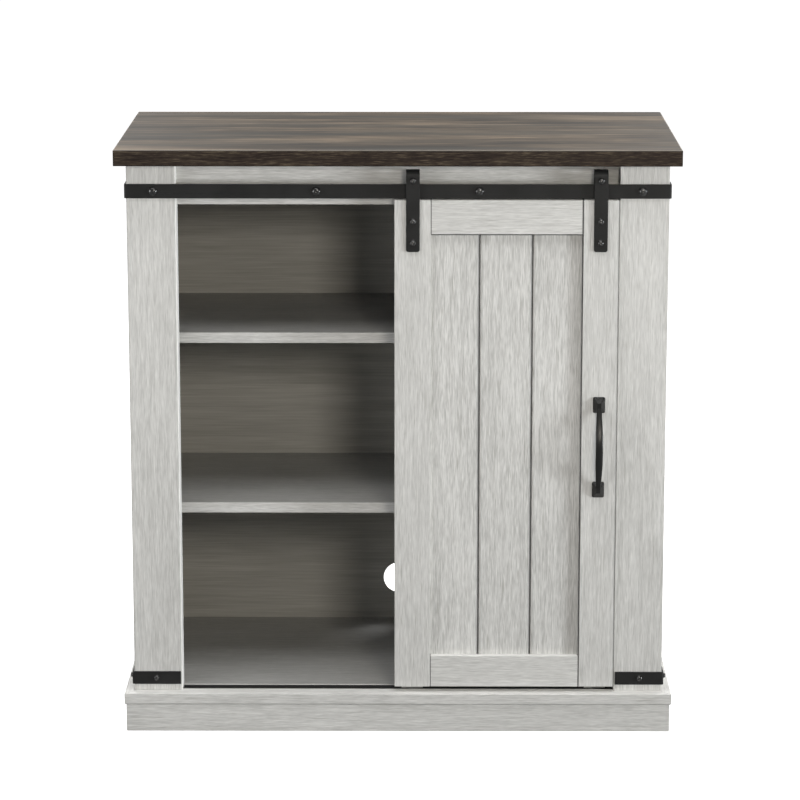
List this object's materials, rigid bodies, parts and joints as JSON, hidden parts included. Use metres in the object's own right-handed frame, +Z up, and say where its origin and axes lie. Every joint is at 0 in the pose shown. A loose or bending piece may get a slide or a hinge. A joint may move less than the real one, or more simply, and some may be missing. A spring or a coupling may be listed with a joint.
{
  "type": "sideboard buffet",
  "caption": "Farmhouse sideboard with a dark top, an open shelved bay and one barn door that slides on rollers along a flat black track.",
  "frame": {"origin": "on the ground, under the centre of the bounding box, which takes in the top board and the door's handle", "axes": "+Z up, the front with the door and handle faces -Y, +X to the right seen from the front"},
  "size_m": [0.825, 0.46, 0.88],
  "materials": {
    "brown_top": "dark brown wood-grain finish, satin",
    "whitewashed_wood": "whitewashed grey-white wood grain, matt",
    "hardboard": "printed grey-white grain on hardboard, matt",
    "bare_wood": "bare beech and pine",
    "black_steel": "black powder coat, satin",
    "black_fasteners": "black, semi-gloss",
    "black_iron": "black, fine cast texture",
    "black_nylon": "black nylon, matt",
    "natural_nylon": "natural nylon, matt",
    "zinc_steel": "zinc plated"
  },
  "bodies": {
    "cabinet": {"top_board": "brown_top", "left_side_panel": "whitewashed_wood", "right_side_panel": "whitewashed_wood", "back_panel": "hardboard", "floor_panel": "whitewashed_wood", "shelf_upper": "whitewashed_wood", "shelf_lower": "whitewashed_wood", "left_front_stile": "whitewashed_wood", "right_front_stile": "whitewashed_wood", "top_rail": "whitewashed_wood", "back_top_rail": "whitewashed_wood", "back_bottom_rail": "whitewashed_wood", "plinth_front": "whitewashed_wood", "plinth_left": "whitewashed_wood", "plinth_right": "whitewashed_wood", "cap_front": "whitewashed_wood", "cap_left": "whitewashed_wood", "cap_right": "whitewashed_wood", "corner_blocks": "bare_wood", "track_bar": "black_steel", "track_spacers": "black_steel", "track_bolts": "black_fasteners", "corner_strap_left": "black_steel", "corner_strap_right": "black_steel", "corner_strap_bolts": "black_fasteners", "guide_channel": "black_nylon", "guide_channel_screws": "zinc_steel", "shelf_pins": "zinc_steel", "carcass_dowels": "bare_wood", "cam_locks": "zinc_steel", "cam_bolts": "zinc_steel"},
    "door": {"door_left_stile": "whitewashed_wood", "door_right_stile": "whitewashed_wood", "door_top_rail": "whitewashed_wood", "door_bottom_rail": "whitewashed_wood", "plank_left": "whitewashed_wood", "plank_centre": "whitewashed_wood", "plank_right": "whitewashed_wood", "door_dowels": "bare_wood", "handle": "black_iron", "handle_screws": "zinc_steel", "hanger_strap_left": "black_steel", "hanger_strap_right": "black_steel", "hanger_bolts": "black_fasteners", "roller_axles": "black_fasteners", "axle_nuts": "black_fasteners", "door_guides": "natural_nylon", "door_guide_screws": "zinc_steel"},
    "roller_left": {"roller_left": "black_nylon"},
    "roller_right": {"roller_right": "black_nylon"}
  },
  "joints": [
    {"name": "door_slide", "type": "slide", "parent": "cabinet", "child": "door", "axis": [-1, 0, 0], "range_m": [0, 0.318]},
    {"name": "roller_left_spin", "type": "hinge", "parent": "door", "child": "roller_left", "pos_m": [0.022, -0.1965, 0.833], "axis": [0, -1, 0], "continuous": true},
    {"name": "roller_right_spin", "type": "hinge", "parent": "door", "child": "roller_right", "pos_m": [0.296, -0.1965, 0.833], "axis": [0, -1, 0], "continuous": true}
  ],
  "couplings": [
    {"joint": "roller_left_spin", "follows": "door_slide", "rad_per_m": 166.67},
    {"joint": "roller_right_spin", "follows": "door_slide", "rad_per_m": 166.67}
  ]
}
